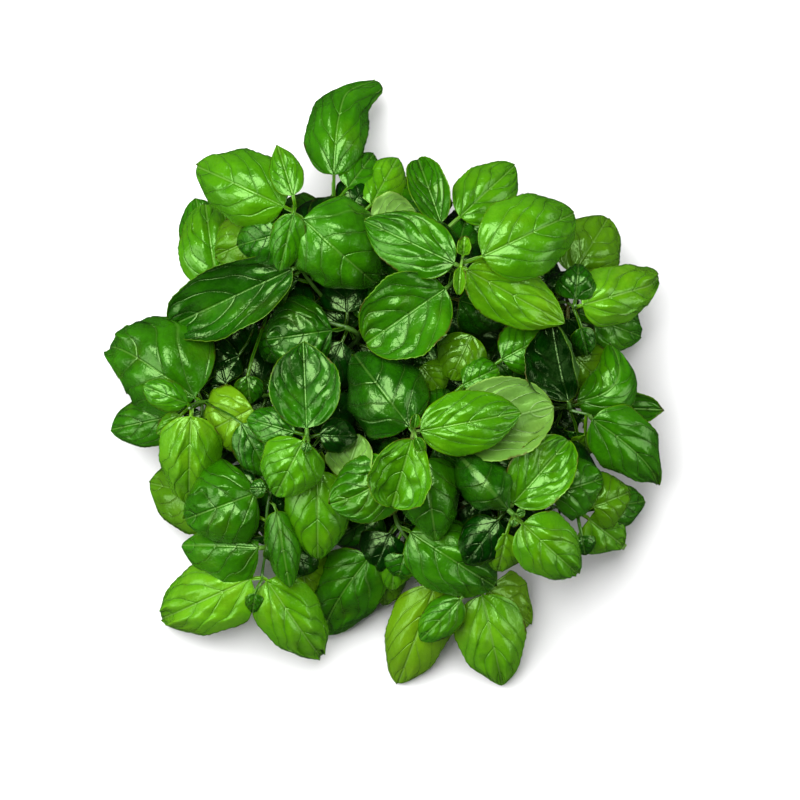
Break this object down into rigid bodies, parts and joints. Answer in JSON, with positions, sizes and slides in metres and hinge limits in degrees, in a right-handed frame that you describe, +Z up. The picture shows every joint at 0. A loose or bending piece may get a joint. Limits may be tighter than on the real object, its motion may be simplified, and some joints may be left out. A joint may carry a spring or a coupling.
{
  "type": "basil bunch",
  "caption": "Loose bunch of cut sweet basil, laid down and opened out into a low mound: thin green stems with broad, glossy, quilted leaves in pairs.",
  "frame": {"origin": "middle of the bunch's footprint on the surface it rests on", "axes": "+Z up from the surface, the shortest extent; +Y along the bunch's longest extent, towards the single long-stalked leaf that reaches furthest out; +X across it, by the right-hand rule"},
  "size_m": [0.2834, 0.3098, 0.111],
  "materials": {
    "leaf": "satin",
    "stem": "satin"
  },
  "bodies": {
    "root": {"stem_north_west": "stem", "stem_north": "stem", "stem_north_east": "stem", "stem_north_north_east": "stem", "stem_east": "stem", "stem_east_south_east": "stem", "stem_south_east": "stem", "stem_south_south_east": "stem", "stem_middle": "stem", "stem_south": "stem", "stem_south_west": "stem", "stem_west_middle": "stem", "stem_west": "stem", "stem_west_north_west": "stem", "leaf_north_west_c": "leaf", "leaf_north_west_a": "leaf", "leaf_north_west_b": "leaf", "leaf_north_a": "leaf", "leaf_north_east_a": "leaf", "leaf_north_east_b": "leaf", "leaf_north_east_c": "leaf", "leaf_north_east_d": "leaf", "leaf_north_north_east_a": "leaf", "leaf_north_north_east_b": "leaf", "leaf_east_a": "leaf", "leaf_east_b": "leaf", "leaf_east_c": "leaf", "leaf_east_d": "leaf", "leaf_east_south_east_c": "leaf", "leaf_east_south_east_a": "leaf", "leaf_east_south_east_b": "leaf", "leaf_east_south_east_d": "leaf", "leaf_south_east_a": "leaf", "leaf_south_east_b": "leaf", "leaf_south_east_c": "leaf", "leaf_south_south_east_a": "leaf", "leaf_south_south_east_b": "leaf", "leaf_south_south_east_c": "leaf", "leaf_middle_a": "leaf", "leaf_middle_b": "leaf", "leaf_middle_c": "leaf", "leaf_middle_d": "leaf", "leaf_middle_e": "leaf", "leaf_middle_f": "leaf", "leaf_south_a": "leaf", "leaf_south_b": "leaf", "leaf_south_c": "leaf", "leaf_south_d": "leaf", "leaf_south_e": "leaf", "leaf_south_west_a": "leaf", "leaf_south_west_b": "leaf", "leaf_south_west_c": "leaf", "leaf_south_west_d": "leaf", "leaf_west_middle_a": "leaf", "leaf_west_middle_b": "leaf", "leaf_west_middle_c": "leaf", "leaf_west_a": "leaf", "leaf_west_b": "leaf", "leaf_west_north_west_a": "leaf", "leaf_west_north_west_b": "leaf"}
  },
  "joints": []
}
